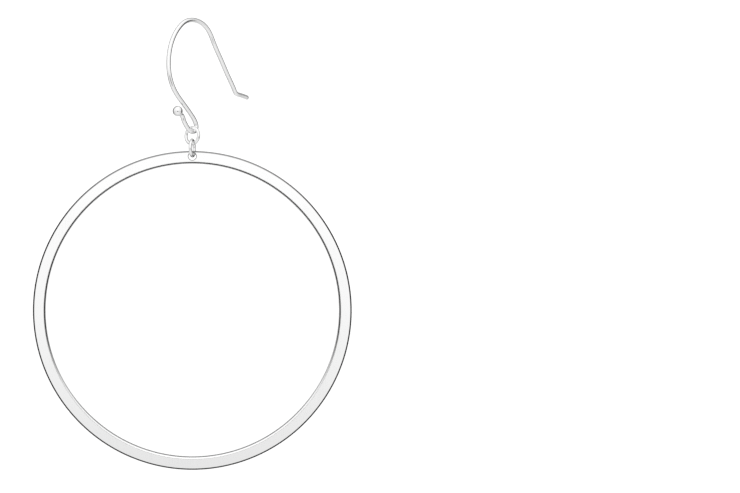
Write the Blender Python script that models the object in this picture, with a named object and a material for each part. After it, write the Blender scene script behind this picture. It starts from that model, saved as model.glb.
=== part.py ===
# Hoop earring on a French ear wire, in metres with +Z up.
# The hoop's flat face looks along -Y. The origin is on the ear wire's axis at the top of its arc.
import math

import bmesh
import bpy
from mathutils import Matrix, Vector

MM = 0.001

# Ear wire, a round wire with a melted ball on its front end
HOOK_WIRE = 0.7 * MM
HOOK_DROP = 17.6 * MM
HOOK_WIDTH = 17.5 * MM
HOOK_YAW = math.radians(42)
BALL_DIAMETER = 1.6 * MM

# Jump rings, both bent from the same wire on the same rod
RING_WIRE = 0.5 * MM
UPPER_RING_YAW = math.radians(-38)
LOWER_RING_YAW = math.radians(75)

# Hoop, a flat ring with rounded edges and one hole near its top
HOOP_OUTER = 50.0 * MM
HOOP_THICKNESS = 1.0 * MM
OUTER_EDGE_RADIUS = 0.15 * MM
INNER_EDGE_RADIUS = 0.3 * MM
HOLE_OUTER_MARGIN = 0.24 * MM
HOLE_INNER_MARGIN = 0.51 * MM

# Clearances: under a hanging piece, inside a jump ring, beside the ring in the wire's bend and in the hoop's hole
SEAT_GAP = 0.06 * MM
RING_PLAY = 0.8 * MM
BEND_PLAY = 0.25 * MM
HOLE_PLAY = 0.35 * MM

# Fineness of the meshes
PATH_STEPS = 4
HOOK_BEVEL_RESOLUTION = 4
BALL_SECTIONS = 9
RING_SEGMENTS = 16
RING_WIRE_SIDES = 6
HOOP_SEGMENTS = 96
HOOP_CORNER_STEPS = 3
HOLE_SEGMENTS = 24

# The ear wire's centreline in its own plane, from the tip down to the bend and from the bend up to the ball.
# Each row is a place, its share of HOOK_WIDTH behind the top of the arc and its share of HOOK_DROP below it.
LONG_SIDE_ROWS = (
    ("tip", 0.711, 0.620),
    ("kink, tip side", 0.580, 0.602),
    ("kink, leg side", 0.531, 0.571),
    ("back leg, low", 0.453, 0.451),
    ("back leg, high", 0.356, 0.303),
    ("back of the arc, low", 0.272, 0.167),
    ("back of the arc, high", 0.203, 0.061),
    ("back of the arc, near the top", 0.118, 0.010),
    ("top of the arc", 0.0, 0.0),
    ("front of the arc, near the top", -0.070, 0.021),
    ("front of the arc", -0.159, 0.089),
    ("bow, high", -0.230, 0.190),
    ("bow, front", -0.279, 0.400),
    ("bow, low", -0.266, 0.543),
    ("sweep, start", -0.214, 0.653),
    ("sweep, middle", -0.107, 0.759),
    ("sweep, end", -0.008, 0.853),
    ("sweep, foot", 0.031, 0.900),
)
BALL_LEG_ROWS = (
    ("ball leg, low", -0.074, 0.948),
    ("ball leg, high", -0.102, 0.906),
    ("ball leg, top", -0.121, 0.868),
    ("neck of the ball", -0.139, 0.854),
)

# The round bend between them carries the upper ring at its lowest point, straight below the top of the arc
BEND_START = math.radians(-10)
BEND_END = math.radians(-130)
BEND_SPANS = 3

# Worked out from the sizes above
bend_radius = (HOOK_WIRE + RING_WIRE) / 2 + BEND_PLAY
ring_inside = (HOOK_WIRE + RING_WIRE + RING_PLAY) / 2
ring_radius = ring_inside + RING_WIRE / 2
upper_ring_rise = (HOOK_WIRE + RING_WIRE) / 2 + SEAT_GAP
lower_ring_rise = RING_WIRE + SEAT_GAP

hole_radius = RING_WIRE / 2 + HOLE_PLAY


def holeTopRise():
    # How far the hole's top lies above the lower ring's wire, which goes through the hoop at a slant and curves up
    # on its way. Each place on the upper half of the hole's edge, at the hoop's face, keeps SEAT_GAP to the wire.
    clear = RING_WIRE / 2 + SEAT_GAP
    rise = 0
    for degrees in range(-90, 91, 5):
        angle = math.radians(degrees)
        x, y = hole_radius * math.sin(angle), HOOP_THICKNESS / 2
        along = x * math.cos(LOWER_RING_YAW) + y * math.sin(LOWER_RING_YAW)
        aside = x * math.sin(LOWER_RING_YAW) - y * math.cos(LOWER_RING_YAW)
        if abs(aside) < clear:
            reach = ring_radius - math.sqrt(clear**2 - aside**2)
            fall = hole_radius * (1 - math.cos(angle))
            rise = max(rise, ring_radius - math.sqrt(reach**2 - along**2) + fall)
    return rise


hole_top_rise = holeTopRise()
hoop_top_rise = hole_top_rise + HOLE_OUTER_MARGIN
hoop_band = HOLE_OUTER_MARGIN + 2 * hole_radius + HOLE_INNER_MARGIN


def clearScene():
    for obj in list(bpy.data.objects):
        bpy.data.objects.remove(obj)


def makeSilver(name, roughness):
    material = bpy.data.materials.new(name)
    material.use_nodes = True
    shader = material.node_tree.nodes["Principled BSDF"]
    shader.inputs["Base Color"].default_value = (0.95, 0.94, 0.92, 1.0)
    shader.inputs["Metallic"].default_value = 1.0
    shader.inputs["Roughness"].default_value = roughness
    return material


def addObject(name, data, material):
    obj = bpy.data.objects.new(name, data)
    data.materials.append(material)
    bpy.context.scene.collection.objects.link(obj)
    return obj


def finishMesh(bm, name, sharp_angle=math.radians(40)):
    bmesh.ops.recalc_face_normals(bm, faces=bm.faces)
    mesh = bpy.data.meshes.new(name)
    bm.to_mesh(mesh)
    bm.free()
    mesh.shade_smooth()
    mesh.set_sharp_from_angle(angle=sharp_angle)
    return mesh


def curvePoint(before, start, end, after, share):
    # A Catmull-Rom span: it leaves start and reaches end in the directions that their neighbours give
    square, cube = share**2, share**3
    return 0.5 * (
        2 * start
        + (end - before) * share
        + (2 * before - 5 * start + 4 * end - after) * square
        + (3 * start - before - 3 * end + after) * cube
    )


def smoothPath(knots):
    ends = [2 * knots[0] - knots[1], *knots, 2 * knots[-1] - knots[-2]]
    path = []
    for i in range(1, len(ends) - 2):
        for step in range(PATH_STEPS):
            path.append(curvePoint(*ends[i - 1 : i + 3], step / PATH_STEPS))
    path.append(knots[-1])
    return path


def ballSections(neck, direction):
    # Each section is a point on the ball's axis and the ball's radius there
    ball = BALL_DIAMETER / 2
    first = math.asin(HOOK_WIRE / BALL_DIAMETER)
    centre = neck + direction * ball * math.cos(first)
    sections = []
    for step in range(1, BALL_SECTIONS + 1):
        turn = first + (math.pi - first) * step / (BALL_SECTIONS + 0.5)
        sections.append((centre - direction * ball * math.cos(turn), ball * math.sin(turn)))
    return sections


def rowKnots(rows):
    return [Vector((back * HOOK_WIDTH, 0, -down * HOOK_DROP)) for _, back, down in rows]


def bendKnots():
    knots = []
    for i in range(BEND_SPANS + 1):
        angle = BEND_START + (BEND_END - BEND_START) * i / BEND_SPANS
        down = HOOK_DROP - bend_radius - bend_radius * math.sin(angle)
        knots.append(Vector((bend_radius * math.cos(angle), 0, -down)))
    return knots


def makeEarHook(material):
    path = smoothPath(rowKnots(LONG_SIDE_ROWS) + bendKnots() + rowKnots(BALL_LEG_ROWS))
    direction = (path[-1] - path[-2]).normalized()
    sections = [(point, HOOK_WIRE / 2) for point in path] + ballSections(path[-1], direction)

    curve = bpy.data.curves.new("ear_hook", "CURVE")
    curve.dimensions = "3D"
    curve.twist_mode = "MINIMUM"
    curve.bevel_depth = HOOK_WIRE / 2
    curve.bevel_resolution = HOOK_BEVEL_RESOLUTION
    curve.use_fill_caps = True
    spline = curve.splines.new("POLY")
    spline.points.add(len(sections) - 1)
    for point, (place, radius) in zip(spline.points, sections, strict=True):
        point.co = (*place, 1)
        point.radius = radius / curve.bevel_depth
    spline.use_smooth = True

    hook = addObject("ear_hook", curve, material)
    hook.rotation_euler.z = HOOK_YAW
    return hook


def makeJumpRing(name, yaw, rise, material):
    # The object's origin is on the wire that carries the ring, which the ring's top wire passes rise above
    bm = bmesh.new()
    turned = Matrix.Translation((0, 0, rise)) @ Matrix.Rotation(math.pi / 2, 4, "Y")
    section = bmesh.ops.create_circle(bm, segments=RING_WIRE_SIDES, radius=RING_WIRE / 2, matrix=turned)
    bmesh.ops.spin(
        bm,
        geom=section["verts"] + list(bm.edges),
        cent=(0, 0, rise - ring_radius),
        axis=(0, 1, 0),
        angle=2 * math.pi,
        steps=RING_SEGMENTS,
        use_merge=True,
    )
    ring = addObject(name, finishMesh(bm, name, math.radians(80)), material)
    ring.rotation_euler.z = yaw
    return ring


def hoopProfile():
    # A rectangle in the YZ plane with its corners rounded, the two at the hoop's outer edge and the two at its inner
    top = hoop_top_rise - OUTER_EDGE_RADIUS
    bottom = hoop_top_rise - hoop_band + INNER_EDGE_RADIUS
    corners = (
        (1, top, OUTER_EDGE_RADIUS, 0),
        (-1, top, OUTER_EDGE_RADIUS, 90),
        (-1, bottom, INNER_EDGE_RADIUS, 180),
        (1, bottom, INNER_EDGE_RADIUS, 270),
    )
    points = []
    for side, z, radius, start in corners:
        y = side * (HOOP_THICKNESS / 2 - radius)
        for step in range(HOOP_CORNER_STEPS + 1):
            angle = math.radians(start + 90 * step / HOOP_CORNER_STEPS)
            points.append((0, y + radius * math.cos(angle), z + radius * math.sin(angle)))
    return points


def makeHoleCutter():
    bm = bmesh.new()
    hole_centre = (0, 0, hole_top_rise - hole_radius)
    bmesh.ops.create_cone(
        bm,
        cap_ends=True,
        segments=HOLE_SEGMENTS,
        radius1=hole_radius,
        radius2=hole_radius,
        depth=2 * HOOP_THICKNESS,
        matrix=Matrix.Translation(hole_centre) @ Matrix.Rotation(math.pi / 2, 4, "X"),
    )
    mesh = bpy.data.meshes.new("hole_cutter")
    bm.to_mesh(mesh)
    bm.free()
    cutter = bpy.data.objects.new("hole_cutter", mesh)
    bpy.context.scene.collection.objects.link(cutter)
    cutter.hide_render = True
    cutter.display_type = "WIRE"
    return cutter


def makeHoop(material):
    # The object's origin is on the lower ring's wire, inside the hole
    bm = bmesh.new()
    verts = [bm.verts.new(point) for point in hoopProfile()]
    edges = [bm.edges.new((verts[i - 1], verts[i])) for i in range(len(verts))]
    bmesh.ops.spin(
        bm,
        geom=verts + edges,
        cent=(0, 0, hoop_top_rise - HOOP_OUTER / 2),
        axis=(0, 1, 0),
        angle=2 * math.pi,
        steps=HOOP_SEGMENTS,
        use_merge=True,
    )
    hoop = addObject("hoop", finishMesh(bm, "hoop"), material)
    hole = hoop.modifiers.new("hole", "BOOLEAN")
    hole.operation = "DIFFERENCE"
    hole.solver = "EXACT"
    hole.object = makeHoleCutter()
    hole.object.parent = hoop
    return hoop


clearScene()
wire_silver = makeSilver("wire_silver", 0.12)
hoop_silver = makeSilver("hoop_silver", 0.08)

ear_hook = makeEarHook(wire_silver)
upper_ring = makeJumpRing("upper_jump_ring", UPPER_RING_YAW, upper_ring_rise, wire_silver)
upper_ring.location.z = -HOOK_DROP

lower_ring = makeJumpRing("lower_jump_ring", LOWER_RING_YAW - UPPER_RING_YAW, lower_ring_rise, wire_silver)
lower_ring.parent = upper_ring
lower_ring.location.z = upper_ring_rise - 2 * ring_radius

hoop = makeHoop(hoop_silver)
hoop.parent = lower_ring
hoop.location.z = lower_ring_rise - 2 * ring_radius
hoop.rotation_euler.z = -LOWER_RING_YAW
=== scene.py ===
import math

import bmesh
import bpy
import numpy as np
from mathutils import Matrix, Vector


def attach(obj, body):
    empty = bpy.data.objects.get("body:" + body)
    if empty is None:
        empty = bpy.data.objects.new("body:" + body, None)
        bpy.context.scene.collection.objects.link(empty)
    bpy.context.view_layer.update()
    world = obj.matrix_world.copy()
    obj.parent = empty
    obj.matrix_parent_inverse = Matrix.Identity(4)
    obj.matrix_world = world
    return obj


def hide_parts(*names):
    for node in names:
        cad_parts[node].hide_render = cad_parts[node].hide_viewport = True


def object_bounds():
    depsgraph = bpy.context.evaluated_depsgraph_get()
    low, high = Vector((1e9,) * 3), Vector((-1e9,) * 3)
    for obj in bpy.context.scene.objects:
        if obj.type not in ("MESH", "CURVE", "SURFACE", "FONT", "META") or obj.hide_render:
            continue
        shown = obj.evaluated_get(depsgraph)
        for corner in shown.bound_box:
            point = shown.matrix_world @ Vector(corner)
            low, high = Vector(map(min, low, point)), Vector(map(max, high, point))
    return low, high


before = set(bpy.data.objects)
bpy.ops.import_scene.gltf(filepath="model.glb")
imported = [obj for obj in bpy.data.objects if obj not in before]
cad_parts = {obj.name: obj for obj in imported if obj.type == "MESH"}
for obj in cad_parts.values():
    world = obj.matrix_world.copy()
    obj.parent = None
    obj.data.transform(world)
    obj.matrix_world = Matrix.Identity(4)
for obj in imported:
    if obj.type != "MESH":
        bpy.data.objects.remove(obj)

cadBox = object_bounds()
mm = 0.001


# Small helpers for meshes
meshing = {
    "joinDistance": 0.0005 * mm,
    "flatFacing": 0.99999,       # how squarely a face looks along Y to count as flat
}


def addObject(bm, name):
    # The object stays at the origin, with its place in the mesh
    mesh = bpy.data.meshes.new(name)
    bm.to_mesh(mesh)
    bm.free()
    made = bpy.data.objects.new(name, mesh)
    bpy.context.scene.collection.objects.link(made)
    return made


def finishPiece(bm, name, body, material):
    bmesh.ops.remove_doubles(bm, verts=bm.verts, dist=meshing["joinDistance"])
    bmesh.ops.recalc_face_normals(bm, faces=bm.faces)
    for face in bm.faces:
        face.smooth = True
    piece = addObject(bm, name)
    piece.data.materials.append(material)
    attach(piece, body)
    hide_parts(body)


def newVerts(result):
    return [item for item in result["geom"] if isinstance(item, bmesh.types.BMVert)]


def newEdges(result):
    return [item for item in result["geom"] if isinstance(item, bmesh.types.BMEdge)]


def openEdges(bm):
    return [edge for edge in bm.edges if len(edge.link_faces) == 1]


def keepFlat(bm):
    # The hoop's flat faces reflect as one plane: their borders are sharp, so no rounding leaks into them
    for edge in bm.edges:
        flatSides = [abs(face.normal.y) > meshing["flatFacing"] for face in edge.link_faces]
        if any(flatSides) and not all(flatSides):
            edge.smooth = False


# Small helpers for node trees

def addNode(tree, kind, x, y, **settings):
    node = tree.nodes.new(kind)
    node.location = (x, y)
    for key, value in settings.items():
        setattr(node, key, value)
    return node


def addRamp(tree, x, y, steps):
    # steps are (where, grey level) pairs, where from 0 to 1
    ramp = addNode(tree, "ShaderNodeValToRGB", x, y)
    elements = ramp.color_ramp.elements
    while len(elements) < len(steps):
        elements.new(0.5)
    for element, (where, level) in zip(elements, steps):
        element.position = where
        element.color = (level, level, level, 1)
    return ramp


def addMath(tree, x, y, operation, *values):
    node = addNode(tree, "ShaderNodeMath", x, y, operation=operation)
    for socket, value in zip(node.inputs, values):
        if isinstance(value, (int, float)):
            socket.default_value = value
        else:
            tree.links.new(value, socket)
    return node.outputs[0]


def addRise(tree, x, y, value, start, end, low=0.0, high=1.0):
    # low before the start, high after the end
    rise = addNode(tree, "ShaderNodeMapRange", x, y, interpolation_type="SMOOTHSTEP")
    rise.inputs["From Min"].default_value = start
    rise.inputs["From Max"].default_value = end
    rise.inputs["To Min"].default_value = low
    rise.inputs["To Max"].default_value = high
    tree.links.new(value, rise.inputs["Value"])
    return rise.outputs["Result"]


def addRadius(tree, x, y, place, middleHeight):
    # Distance from an axis that runs along Y at this height
    centred = addNode(tree, "ShaderNodeMapping", x, y)
    centred.inputs["Location"].default_value = (0, 0, -middleHeight)
    tree.links.new(place.outputs["Object"], centred.inputs["Vector"])
    across = addNode(tree, "ShaderNodeVectorMath", x + 200, y, operation="MULTIPLY")
    across.inputs[1].default_value = (1, 0, 1)
    tree.links.new(centred.outputs["Vector"], across.inputs[0])
    length = addNode(tree, "ShaderNodeVectorMath", x + 400, y, operation="LENGTH")
    tree.links.new(across.outputs["Vector"], length.inputs[0])
    return length.outputs["Value"]


# Polished silver. Polishing leaves broad soft smears, fine hairlines and a few tiny pits: the steps say from
# which texture value on a mark begins and from which it is full.
polish = {
    "smearDetail": 4,
    "smearRoughness": 0.55,
    "smearSteps": ((0.42, 0), (0.7, 1)),
    "hairlineStretch": (1, 1, 0.06),         # they run mostly up and down
    "hairlineTurn": (0.3, 0.5, 0.2),
    "hairlineDetail": 2,
    "hairlineSteps": ((0.45, 0), (0.6, 1)),
    "hairlineHeight": 0.15,
    "pitSteps": ((0.04, 0), (0.12, 1)),
}
wireLook = {
    "marks": {
        "Metal": (0.96, 0.96, 0.96, 1),
        "Dull Metal": (0.93, 0.93, 0.93, 1),
        "Smear Scale": 700.0,
        "Hairline Scale": 20000.0,
        "Bright Roughness": 0.08,
        "Dull Roughness": 0.14,
    },
    "reliefStrength": 0.03,
    "reliefDepth": 0.01 * mm,
}
hoopLook = {
    "marks": {
        "Metal": (0.96, 0.96, 0.96, 1),
        "Dull Metal": (0.93, 0.93, 0.93, 1),
        "Smear Scale": 160.0,
        "Hairline Scale": 8000.0,
        "Bright Roughness": 0.06,
        "Dull Roughness": 0.14,
    },
    "reliefStrength": 0.05,
    "reliefDepth": 0.01 * mm,
}


def makeHandPolish(look):
    group = bpy.data.node_groups.new("handPolish", "ShaderNodeTree")
    sockets = (
        ("Vector", "INPUT", "NodeSocketVector"),
        ("Metal", "INPUT", "NodeSocketColor"),
        ("Dull Metal", "INPUT", "NodeSocketColor"),
        ("Smear Scale", "INPUT", "NodeSocketFloat"),
        ("Hairline Scale", "INPUT", "NodeSocketFloat"),
        ("Bright Roughness", "INPUT", "NodeSocketFloat"),
        ("Dull Roughness", "INPUT", "NodeSocketFloat"),
        ("Color", "OUTPUT", "NodeSocketColor"),
        ("Roughness", "OUTPUT", "NodeSocketFloat"),
        ("Height", "OUTPUT", "NodeSocketFloat"),
    )
    for name, way, kind in sockets:
        group.interface.new_socket(name=name, in_out=way, socket_type=kind)
    source = addNode(group, "NodeGroupInput", -1100, 0)
    target = addNode(group, "NodeGroupOutput", 700, 0)
    link = group.links.new

    smear = addNode(group, "ShaderNodeTexNoise", -700, 300)
    smear.inputs["Detail"].default_value = look["smearDetail"]
    smear.inputs["Roughness"].default_value = look["smearRoughness"]
    link(source.outputs["Vector"], smear.inputs["Vector"])
    link(source.outputs["Smear Scale"], smear.inputs["Scale"])

    drawn = addNode(group, "ShaderNodeMapping", -900, -50)
    drawn.inputs["Scale"].default_value = look["hairlineStretch"]
    drawn.inputs["Rotation"].default_value = look["hairlineTurn"]
    link(source.outputs["Vector"], drawn.inputs["Vector"])
    hairline = addNode(group, "ShaderNodeTexNoise", -700, -50)
    hairline.inputs["Detail"].default_value = look["hairlineDetail"]
    link(drawn.outputs["Vector"], hairline.inputs["Vector"])
    link(source.outputs["Hairline Scale"], hairline.inputs["Scale"])

    pits = addNode(group, "ShaderNodeTexVoronoi", -700, -350)
    link(source.outputs["Vector"], pits.inputs["Vector"])
    link(source.outputs["Hairline Scale"], pits.inputs["Scale"])
    pitMask = addRamp(group, -450, -350, look["pitSteps"])
    link(pits.outputs["Distance"], pitMask.inputs["Fac"])

    smearMask = addRamp(group, -450, 300, look["smearSteps"])
    link(smear.outputs["Fac"], smearMask.inputs["Fac"])
    hairMask = addRamp(group, -450, -50, look["hairlineSteps"])
    link(hairline.outputs["Fac"], hairMask.inputs["Fac"])
    dullness = addMath(group, -150, 150, "MULTIPLY", smearMask.outputs["Color"], hairMask.outputs["Color"])

    tint = addNode(group, "ShaderNodeMix", 200, 300, data_type="RGBA")
    link(dullness, tint.inputs["Factor"])
    link(source.outputs["Metal"], tint.inputs["A"])
    link(source.outputs["Dull Metal"], tint.inputs["B"])
    link(tint.outputs["Result"], target.inputs["Color"])

    gloss = addNode(group, "ShaderNodeMix", 200, 50)
    link(dullness, gloss.inputs["Factor"])
    link(source.outputs["Bright Roughness"], gloss.inputs["A"])
    link(source.outputs["Dull Roughness"], gloss.inputs["B"])
    link(gloss.outputs["Result"], target.inputs["Roughness"])

    lines = addMath(group, 0, -100, "MULTIPLY", hairMask.outputs["Color"], look["hairlineHeight"])
    soft = addMath(group, 200, -150, "ADD", smear.outputs["Fac"], lines)
    height = addMath(group, 400, -200, "MULTIPLY", soft, pitMask.outputs["Color"])
    link(height, target.inputs["Height"])
    return group


def makeSilver(name, group, look):
    material = bpy.data.materials.new(name)
    material.use_nodes = True
    tree = material.node_tree
    shader = tree.nodes["Principled BSDF"]
    shader.inputs["Metallic"].default_value = 1.0
    place = addNode(tree, "ShaderNodeTexCoord", -900, 0)
    marks = addNode(tree, "ShaderNodeGroup", -600, 0, node_tree=group)
    tree.links.new(place.outputs["Object"], marks.inputs["Vector"])
    for socketName, value in look["marks"].items():
        marks.inputs[socketName].default_value = value
    tree.links.new(marks.outputs["Color"], shader.inputs["Base Color"])
    tree.links.new(marks.outputs["Roughness"], shader.inputs["Roughness"])
    relief = addNode(tree, "ShaderNodeBump", -250, -250)
    relief.inputs["Strength"].default_value = look["reliefStrength"]
    relief.inputs["Distance"].default_value = look["reliefDepth"]
    tree.links.new(marks.outputs["Height"], relief.inputs["Height"])
    tree.links.new(relief.outputs["Normal"], shader.inputs["Normal"])
    return material


handPolish = makeHandPolish(polish)
wireSilver = makeSilver("wireSilver", handPolish, wireLook)
hoopSilver = makeSilver("hoopSilver", handPolish, hoopLook)
print("silver ready")


# Ear wire: the rows are places on its centreline, as shares of its width behind the top of the arc
# and of its drop below it, from the tip down to the bend and from the bend up to the ball
earWire = {
    "wire": 0.7 * mm,
    "drop": 17.6 * mm,
    "width": 17.5 * mm,
    "yaw": math.radians(42),
    "ball": 1.6 * mm,
    "ballRows": 24,
    "capShare": 0.97,            # what lies past this share of the reach to the wire's end is opened
    "bendRadius": 0.85 * mm,
    "bendFrom": math.radians(-10),
    "bendTo": math.radians(-130),
    "bendSpans": 3,
    "sides": 32,
    "stepLength": 0.16 * mm,
    "tipRounding": 0.2 * mm,
    "tipSteps": 5,
    "longSide": (
        (0.711, 0.617),      # tip
        (0.590, 0.6004),
        (0.564, 0.597),      # kink
        (0.544, 0.585),
        (0.530, 0.564),
        (0.453, 0.451),      # back leg
        (0.356, 0.303),
        (0.267, 0.168),
        (0.199, 0.063),
        (0.118, 0.010),
        (0.0, 0.0),          # top of the arc
        (-0.070, 0.021),
        (-0.156, 0.091),
        (-0.225, 0.192),     # bow
        (-0.279, 0.400),
        (-0.264, 0.542),
        (-0.211, 0.652),     # sweep
        (-0.107, 0.759),
        (-0.008, 0.853),
        (0.031, 0.900),
    ),
    "ballLeg": (
        (-0.074, 0.948),
        (-0.102, 0.906),
        (-0.121, 0.868),
        (-0.139, 0.854),     # neck of the ball
    ),
}


def wireKnots(piece):
    knots = [Vector((back * piece["width"], 0, -down * piece["drop"])) for back, down in piece["longSide"]]
    for i in range(piece["bendSpans"] + 1):
        angle = piece["bendFrom"] + (piece["bendTo"] - piece["bendFrom"]) * i / piece["bendSpans"]
        below = piece["drop"] - piece["bendRadius"] * (1 + math.sin(angle))
        knots.append(Vector((piece["bendRadius"] * math.cos(angle), 0, -below)))
    knots += [Vector((back * piece["width"], 0, -down * piece["drop"])) for back, down in piece["ballLeg"]]
    return knots


def smoothLine(knots, stepLength):
    # A natural cubic spline through the knots, measured by the length between them
    points = np.array(knots)
    spans = np.linalg.norm(np.diff(points, axis=0), axis=1)
    slopes = np.diff(points, axis=0) / spans[:, None]
    count = len(points)
    system = np.identity(count)
    target = np.zeros((count, 3))
    for i in range(1, count - 1):
        system[i, i - 1 : i + 2] = spans[i - 1], 2 * (spans[i - 1] + spans[i]), spans[i]
        target[i] = 6 * (slopes[i] - slopes[i - 1])
    curving = np.linalg.solve(system, target)
    line = []
    for i, span in enumerate(spans):
        steps = max(1, round(span / stepLength))
        for step in range(steps):
            into = span * step / steps
            left = span - into
            place = (points[i] * left + points[i + 1] * into) / span
            pullBack = curving[i] * (left**3 / span - left * span)
            pullOn = curving[i + 1] * (into**3 / span - into * span)
            line.append(Vector(place + (pullBack + pullOn) / 6))
    line.append(Vector(points[-1]))
    return line


def lineHeading(line, i):
    before, after = line[max(i - 1, 0)], line[min(i + 1, len(line) - 1)]
    return (after - before).normalized()


def facing(place, heading):
    # A flat circle at this place that looks along the heading
    return Matrix.Translation(place) @ heading.to_track_quat("Z", "Y").to_matrix().to_4x4()


def makeEarWire(piece, material):
    line = smoothLine(wireKnots(piece), piece["stepLength"])
    bm = bmesh.new()

    # The wire's section is drawn along the line, turning with it in the wire's own plane
    heading = lineHeading(line, 0)
    start = facing(line[0], heading)
    bmesh.ops.create_circle(bm, segments=piece["sides"], radius=piece["wire"] / 2, matrix=start)
    tipEdges = list(bm.edges)
    edges = tipEdges
    for i in range(1, len(line)):
        drawn = bmesh.ops.extrude_edge_only(bm, edges=edges)
        verts = newVerts(drawn)
        edges = [edge for edge in newEdges(drawn) if edge.verts[0] in verts and edge.verts[1] in verts]
        turned = lineHeading(line, i)
        bmesh.ops.translate(bm, verts=verts, vec=line[i] - line[i - 1])
        turn = heading.rotation_difference(turned).to_matrix()
        bmesh.ops.rotate(bm, verts=verts, cent=line[i], matrix=turn)
        heading = turned

    # The tip is filed round
    bmesh.ops.edgeloop_fill(bm, edges=tipEdges)
    bmesh.ops.bevel(
        bm,
        geom=tipEdges,
        offset=piece["tipRounding"],
        affect="EDGES",
        segments=piece["tipSteps"],
        profile=0.5,
        material=-1,
    )

    # The ball is melted onto the other end: its cap inside the wire is opened and bridged to the wire
    reach = math.sqrt((piece["ball"] / 2) ** 2 - (piece["wire"] / 2) ** 2)
    centre = line[-1] + heading * reach
    ball = bmesh.ops.create_uvsphere(
        bm,
        u_segments=piece["sides"],
        v_segments=piece["ballRows"],
        radius=piece["ball"] / 2,
        matrix=facing(centre, heading),
    )
    capStart = reach * piece["capShare"]
    cap = [vert for vert in ball["verts"] if (vert.co - centre).dot(-heading) > capStart]
    bmesh.ops.delete(bm, geom=cap, context="VERTS")
    bmesh.ops.bridge_loops(bm, edges=openEdges(bm))

    bmesh.ops.rotate(bm, verts=bm.verts, cent=(0, 0, 0), matrix=Matrix.Rotation(piece["yaw"], 3, "Z"))
    finishPiece(bm, "earWire", "ear_hook", material)


makeEarWire(earWire, wireSilver)
print("ear wire made")


# Jump rings: each hangs with the top of its wire over what carries it. A row has the piece, its body, the
# height of its carrier's wire, how far above that the ring's own wire passes, and the ring's turn.
jumpRings = {
    "wire": 0.5 * mm,
    "inside": 1.0 * mm,
    "sides": 24,
    "steps": 96,
    "rings": (
        ("upperJumpRing", "upper_jump_ring", -17.6 * mm, 0.66 * mm, math.radians(-38)),
        ("lowerJumpRing", "lower_jump_ring", -19.44 * mm, 0.56 * mm, math.radians(75)),
    ),
}


def makeJumpRings(piece, material):
    wireRadius = piece["wire"] / 2
    radius = piece["inside"] + wireRadius
    for name, body, carrier, rise, yaw in piece["rings"]:
        bm = bmesh.new()
        top = carrier + rise
        place = Matrix.Translation((0, 0, top)) @ Matrix.Rotation(math.pi / 2, 4, "Y")
        section = bmesh.ops.create_circle(bm, segments=piece["sides"], radius=wireRadius, matrix=place)
        bmesh.ops.spin(
            bm,
            geom=section["verts"] + list(bm.edges),
            cent=(0, 0, top - radius),
            axis=(0, 1, 0),
            angle=2 * math.pi,
            steps=piece["steps"],
            use_merge=True,
        )
        bmesh.ops.rotate(bm, verts=bm.verts, cent=(0, 0, 0), matrix=Matrix.Rotation(yaw, 3, "Z"))
        finishPiece(bm, name, body, material)


makeJumpRings(jumpRings, wireSilver)
print("jump rings made")


# Hoop: a flat ring cut from sheet, with softened edges and a hole for the lower ring
hoop = {
    "outer": 50.0 * mm,
    "band": 1.95 * mm,
    "thickness": 1.0 * mm,
    "top": -20.6192 * mm,
    "corners": (
        (0.17 * mm, 1, -1),      # outer front: width, up or down in the section, back or front
        (0.17 * mm, 1, 1),
        (0.21 * mm, -1, -1),     # inner front
        (0.08 * mm, -1, 1),
    ),
    "cornerReach": 1.01,         # points within this many widths of a corner belong to it
    "softening": 0.2,
    "edgeSteps": 4,
    "steps": 288,
    "holeRadius": 0.6 * mm,
    "holeMargin": 0.24 * mm,
    "holeEdge": 0.07 * mm,
    "holeEdgeSteps": 4,
    "holeSteps": 64,
}

# Painted shade: the hoop's outer corners, the hole's rims and parts of the inner corners are painted near
# black and rougher, as thin dark outlines that stand for reflected dark surroundings. Widths are measured
# across the band, depths from a flat face. outerShare, frontShare and backShare say between which heights
# over the hoop's middle the painted darkness changes, and from which level to which if not from 0 to 1.
# backShare counts the heights below the middle in the same way.
paintedDarkEdges = {
    "outerWidth": 0.28 * mm,
    "outerDepth": 0.2 * mm,
    "outerShare": (12 * mm, 24 * mm, 1.0, 0.7),
    "innerWidth": 0.22 * mm,
    "frontDepth": 0.2 * mm,
    "frontShare": (-15 * mm, -2 * mm),
    "backDepth": 0.55 * mm,
    "backShare": (8 * mm, 18 * mm, 0.0, 0.85),
    "rimWidth": 0.12 * mm,
    "rimShare": 0.85,
    "blend": 0.05 * mm,
    "tone": (0.03, 0.03, 0.03, 1),
    "roughness": 0.25,
}


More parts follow.
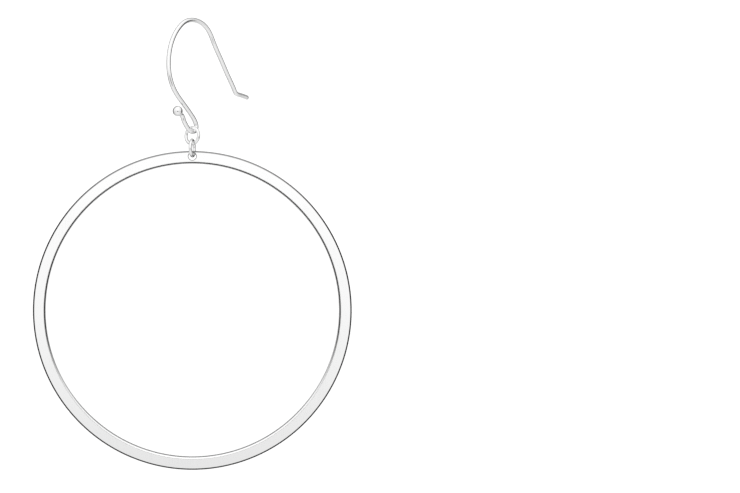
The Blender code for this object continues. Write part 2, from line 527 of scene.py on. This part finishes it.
def addPaintedDarkEdges(material, piece, look):
    tree = material.node_tree
    shader = tree.nodes["Principled BSDF"]
    place = addNode(tree, "ShaderNodeTexCoord", -2400, 500)
    parts = addNode(tree, "ShaderNodeSeparateXYZ", -2200, 200)
    tree.links.new(place.outputs["Object"], parts.inputs["Vector"])
    face = piece["thickness"] / 2
    outerRadius = piece["outer"] / 2
    middle = piece["top"] - outerRadius
    blend = look["blend"]
    above = addMath(tree, -1900, -300, "SUBTRACT", parts.outputs["Z"], middle)
    fromMiddle = addRadius(tree, -2200, 800, place, middle)

    # Outer corners, front and back
    outerStart = outerRadius - look["outerWidth"]
    outer = addRise(tree, -1500, 800, fromMiddle, outerStart, outerStart + blend)
    fromPlane = addMath(tree, -1900, 200, "ABSOLUTE", parts.outputs["Y"])
    cornerStart = face - look["outerDepth"]
    corner = addRise(tree, -1500, 500, fromPlane, cornerStart - blend, cornerStart)
    outer = addMath(tree, -1250, 700, "MULTIPLY", outer, corner)
    outerPaintedShare = addRise(tree, -1500, 1000, above, *look["outerShare"])
    outer = addMath(tree, -1050, 800, "MULTIPLY", outer, outerPaintedShare)

    # Inside, the painted dark outline leaves out the front corner low on the hoop, and the back corner at
    # its sides
    innerEnd = outerRadius - piece["band"] + look["innerWidth"]
    inside = addRise(tree, -1500, 200, fromMiddle, innerEnd, innerEnd - blend)
    frontEnd = look["frontDepth"] - face
    front = addRise(tree, -1500, 0, parts.outputs["Y"], frontEnd, frontEnd - blend)
    upper = addRise(tree, -1500, -200, above, *look["frontShare"])
    front = addMath(tree, -1250, 0, "MULTIPLY", front, upper)
    backStart = face - look["backDepth"]
    back = addRise(tree, -1500, -400, parts.outputs["Y"], backStart - blend, backStart)
    away = addMath(tree, -1700, -400, "ABSOLUTE", above)
    ends = addRise(tree, -1500, -600, away, *look["backShare"])
    back = addMath(tree, -1250, -400, "MULTIPLY", back, ends)
    inner = addMath(tree, -1050, -200, "MAXIMUM", front, back)
    inner = addMath(tree, -850, 100, "MULTIPLY", inner, inside)

    # The hole's rims, front and back
    holeHeight = piece["top"] - piece["holeMargin"] - piece["holeRadius"]
    fromHole = addRadius(tree, -2200, 1200, place, holeHeight)
    rimEnd = piece["holeRadius"] + look["rimWidth"]
    rim = addRise(tree, -1500, 1200, fromHole, rimEnd, rimEnd - blend, 0.0, look["rimShare"])
    rim = addMath(tree, -1250, 1100, "MULTIPLY", rim, corner)

    # Painted shade: this mask of dark outlines is mixed below into the silver's colour as near black, with
    # more roughness
    paintedDark = addMath(tree, -650, 500, "MAXIMUM", outer, inner)
    paintedDark = addMath(tree, -450, 700, "MAXIMUM", paintedDark, rim)
    mixes = (
        ("Base Color", look["tone"], "RGBA", 300),
        ("Roughness", look["roughness"], "FLOAT", 100),
    )
    for socketName, paintedDarkValue, kind, y in mixes:
        polished = shader.inputs[socketName].links[0].from_socket
        mix = addNode(tree, "ShaderNodeMix", -250, y, data_type=kind)
        tree.links.new(paintedDark, mix.inputs["Factor"])
        first, second = [socket for socket in mix.inputs if socket.enabled and socket.name in "AB"]
        tree.links.new(polished, first)
        second.default_value = paintedDarkValue
        mixed = [socket for socket in mix.outputs if socket.enabled]
        tree.links.new(mixed[0], shader.inputs[socketName])


def makeHoleCutter(piece):
    # A pin that flares at both faces of the hoop, so that the hole's rims come out rounded
    bm = bmesh.new()
    face = piece["thickness"] / 2
    radius, edge = piece["holeRadius"], piece["holeEdge"]
    outline = [(radius + edge, face * 2)]        # the pin ends well outside the faces
    for i in range(piece["holeEdgeSteps"] + 1):
        angle = math.radians(90 - 90 * i / piece["holeEdgeSteps"])
        outline.append((radius + edge * (1 - math.cos(angle)), face - edge * (1 - math.sin(angle))))
    outline += [(across, -along) for across, along in reversed(outline)]
    centre = piece["top"] - piece["holeMargin"] - radius
    verts = [bm.verts.new((across, along, centre)) for across, along in outline]
    edges = [bm.edges.new(pair) for pair in zip(verts, verts[1:])]
    bmesh.ops.spin(
        bm,
        geom=verts + edges,
        cent=(0, 0, centre),
        axis=(0, 1, 0),
        angle=2 * math.pi,
        steps=piece["holeSteps"],
        use_merge=True,
    )
    bmesh.ops.holes_fill(bm, edges=openEdges(bm))
    bmesh.ops.recalc_face_normals(bm, faces=bm.faces)
    return addObject(bm, "holeCutter")


def makeHoop(piece, material):
    # The band's section is a square with sides of 1, scaled to its size, and its corners are rounded
    bm = bmesh.new()
    middle = piece["top"] - piece["band"] / 2
    place = Matrix.Translation((0, 0, middle)) @ Matrix.Rotation(math.pi / 2, 4, "Y")
    bmesh.ops.create_grid(bm, x_segments=1, y_segments=1, size=0.5, matrix=place)
    bmesh.ops.scale(
        bm,
        verts=bm.verts,
        vec=(1, piece["thickness"], piece["band"]),
        space=Matrix.Translation((0, 0, -middle)),
    )
    for edgeWidth, up, back in piece["corners"]:
        # A corner is first cut at a slant, then the two borders of the slant are rounded
        limit = piece["band"] / 2 - edgeWidth * piece["cornerReach"]
        for offset, segments in ((edgeWidth, 1), (edgeWidth * piece["softening"], piece["edgeSteps"])):
            corners = [
                vert for vert in bm.verts
                if (vert.co.z - middle) * up > limit and vert.co.y * back > 0
            ]
            bmesh.ops.bevel(
                bm,
                geom=corners,
                offset=offset,
                affect="VERTICES",
                segments=segments,
                profile=0.5,
                material=-1,
            )

    # The section's outline is spun round the hoop's middle
    bmesh.ops.delete(bm, geom=list(bm.faces), context="FACES_ONLY")
    bmesh.ops.spin(
        bm,
        geom=list(bm.verts) + list(bm.edges),
        cent=(0, 0, piece["top"] - piece["outer"] / 2),
        axis=(0, 1, 0),
        angle=2 * math.pi,
        steps=piece["steps"],
        use_merge=True,
    )
    bmesh.ops.recalc_face_normals(bm, faces=bm.faces)
    blank = addObject(bm, "hoopBlank")

    # The hole is cut out of the blank
    cutter = makeHoleCutter(piece)
    cut = blank.modifiers.new("hole", "BOOLEAN")
    cut.operation = "DIFFERENCE"
    cut.solver = "EXACT"
    cut.object = cutter
    bpy.context.view_layer.update()
    cutMesh = bpy.data.meshes.new_from_object(blank.evaluated_get(bpy.context.evaluated_depsgraph_get()))
    bpy.data.objects.remove(blank)
    bpy.data.objects.remove(cutter)
    bm = bmesh.new()
    bm.from_mesh(cutMesh)
    keepFlat(bm)
    finishPiece(bm, "flatHoop", "hoop", material)


addPaintedDarkEdges(hoopSilver, hoop, paintedDarkEdges)
makeHoop(hoop, hoopSilver)
print("hoop made")


# Studio: what the silver reflects goes by direction. A row has an axis and steps, each a direction's share
# along that axis, from -1 to 1, and a level. The light is brightest above and a little grey below and far to
# the sides. One dark card stands at the right, level with the earring, and dark cards stand all round behind
# it, with a gap and an opening straight behind. They give the wires their thin dark outlines.
studio = {
    "heightLight": ("Z", (-1.0, 0.88), (-0.5, 0.91), (-0.25, 0.82), (-0.07, 0.97), (0.1, 1.05), (1.0, 1.15)),
    "sideLight": ("X", (-0.75, 0.88), (-0.2, 1.0), (0.2, 1.0), (0.75, 0.82)),
    "cardDepth": ("Y", (-0.12, 0.0), (0.0, 1.0), (0.45, 1.0), (0.6, 0.0)),
    "cardHeight": ("Z", (-0.45, 0.0), (-0.28, 1.0), (0.3, 1.0), (0.45, 0.4), (0.7, 0.0)),
    "cardSide": ("X", (0.1, 0.0), (0.5, 1.0)),
    "roundDepth": (
        "Y",
        (0.05, 0.0),
        (0.3, 1.0),
        (0.55, 1.0),
        (0.62, 0.35),
        (0.74, 0.35),
        (0.8, 1.0),
        (0.95, 1.0),
        (0.985, 0.0),
    ),
    "roundHeight": ("Z", (-1.0, 0.2), (-0.5, 0.4), (-0.2, 0.9), (0.3, 0.9), (1.0, 0.75)),
}
stage = {
    "cardLevel": 0.03,
    "whiteLevel": 1.15,
    "floorDrop": 12 * mm,
    "floorSize": 3.0,
    "floorCells": 8,
    "floorRoughness": 0.9,
    "floorGrain": 900,
    "floorTones": ((0, 0.92), (1, 0.96)),
    "lensRadius": 30 * mm,
    "lensSides": 48,
    "lensBelow": 20 * mm,
    "lensTone": (0.03, 0.03, 0.03, 1),
}

# Camera: level, square to the hoop's face, with the earring left of the middle of the frame
view = {
    "place": (0, -140 * mm, -35.6 * mm),
    "lens": 43.34,
    "sensor": 36.0,
    "frameWidth": 740,
    "hoopMiddleX": 192.3,      # the photograph's column over the hoop's middle, in pixels
    "clip": (0.001, 20),
}


def addDirectionLevel(tree, y, share, steps):
    # A ramp goes from 0 to 1 in place and level: both are squeezed on the way in, the level doubled after it
    where = addNode(tree, "ShaderNodeMapRange", -1000, y)
    where.inputs["From Min"].default_value = -1
    tree.links.new(share, where.inputs["Value"])
    ramp = addRamp(tree, -800, y, [((share + 1) / 2, level / 2) for share, level in steps])
    tree.links.new(where.outputs["Result"], ramp.inputs["Fac"])
    return addMath(tree, -500, y, "MULTIPLY", ramp.outputs["Color"], 2.0)


def makeStudioLight(light, piece):
    world = bpy.data.worlds.new("studioLight")
    bpy.context.scene.world = world
    world.use_nodes = True
    tree = world.node_tree
    tree.nodes.clear()
    link = tree.links.new
    place = addNode(tree, "ShaderNodeTexCoord", -1400, 0)
    parts = addNode(tree, "ShaderNodeSeparateXYZ", -1200, 0)
    link(place.outputs["Generated"], parts.inputs["Vector"])
    levels = {}
    for row, (name, (axis, *steps)) in enumerate(light.items()):
        levels[name] = addDirectionLevel(tree, -300 * row, parts.outputs[axis], steps)

    card = addMath(tree, -300, -700, "MULTIPLY", levels["cardDepth"], levels["cardHeight"])
    card = addMath(tree, -100, -700, "MULTIPLY", card, levels["cardSide"])
    allRound = addMath(tree, -300, -1000, "MULTIPLY", levels["roundDepth"], levels["roundHeight"])
    dark = addMath(tree, 100, -900, "MAXIMUM", card, allRound)
    bright = addMath(tree, -300, -200, "MULTIPLY", levels["heightLight"], levels["sideLight"])
    shaded = addNode(tree, "ShaderNodeMix", 0, -200)
    link(dark, shaded.inputs["Factor"])
    link(bright, shaded.inputs["A"])
    shaded.inputs["B"].default_value = piece["cardLevel"]

    # Only the silver sees the cards: the camera and the floor see plain white
    seen = addNode(tree, "ShaderNodeLightPath", -300, 300)
    white = addNode(tree, "ShaderNodeMix", 250, 0)
    link(seen.outputs["Is Glossy Ray"], white.inputs["Factor"])
    white.inputs["A"].default_value = piece["whiteLevel"]
    link(shaded.outputs["Result"], white.inputs["B"])
    glow = addNode(tree, "ShaderNodeBackground", 450, 0)
    glow.inputs["Color"].default_value = (1, 1, 1, 1)
    link(white.outputs["Result"], glow.inputs["Strength"])
    final = addNode(tree, "ShaderNodeOutputWorld", 650, 0)
    link(glow.outputs["Background"], final.inputs["Surface"])


def makeMatte(name, roughness):
    material = bpy.data.materials.new(name)
    material.use_nodes = True
    shader = material.node_tree.nodes["Principled BSDF"]
    shader.inputs["Roughness"].default_value = roughness
    shader.inputs["Specular IOR Level"].default_value = 0.0
    return material, shader


def makeFloor(piece):
    material, shader = makeMatte("paleFloor", piece["floorRoughness"])
    tree = material.node_tree
    grain = addNode(tree, "ShaderNodeTexNoise", -500, 0)
    grain.inputs["Scale"].default_value = piece["floorGrain"]
    tone = addRamp(tree, -300, 0, piece["floorTones"])
    tree.links.new(grain.outputs["Fac"], tone.inputs["Fac"])
    tree.links.new(tone.outputs["Color"], shader.inputs["Base Color"])
    bm = bmesh.new()
    cells = piece["floorCells"]
    place = Matrix.Translation((0, 0, cadBox[0].z - piece["floorDrop"]))
    bmesh.ops.create_grid(bm, x_segments=cells, y_segments=cells, size=piece["floorSize"], matrix=place)
    floor = addObject(bm, "floor")
    floor.data.materials.append(material)
    floor.visible_glossy = False


def makeCamera(piece):
    data = bpy.data.cameras.new("camera")
    data.sensor_width = piece["sensor"]
    data.lens = piece["lens"]
    data.shift_x = (piece["frameWidth"] / 2 - piece["hoopMiddleX"]) / piece["frameWidth"]
    data.clip_start, data.clip_end = piece["clip"]
    camera = bpy.data.objects.new("camera", data)
    camera.location = piece["place"]
    camera.rotation_euler = (math.pi / 2, 0, 0)
    bpy.context.scene.collection.objects.link(camera)
    bpy.context.scene.camera = camera


def makeLens(piece, cameraPlace):
    # The camera's own dark front shows in the ball and the rings
    material, shader = makeMatte("lensBlack", 1.0)
    shader.inputs["Base Color"].default_value = piece["lensTone"]
    bm = bmesh.new()
    middle = Vector(cameraPlace) - Vector((0, 0, piece["lensBelow"]))
    place = Matrix.Translation(middle) @ Matrix.Rotation(math.pi / 2, 4, "X")
    sides, radius = piece["lensSides"], piece["lensRadius"]
    bmesh.ops.create_circle(bm, cap_ends=True, segments=sides, radius=radius, matrix=place)
    lens = addObject(bm, "lens")
    lens.data.materials.append(material)
    lens.visible_camera = False
    lens.visible_diffuse = False
    lens.visible_shadow = False


makeStudioLight(studio, stage)
makeFloor(stage)
makeCamera(view)
makeLens(stage, view["place"])
bpy.context.scene.view_settings.view_transform = "Standard"
print("studio ready")
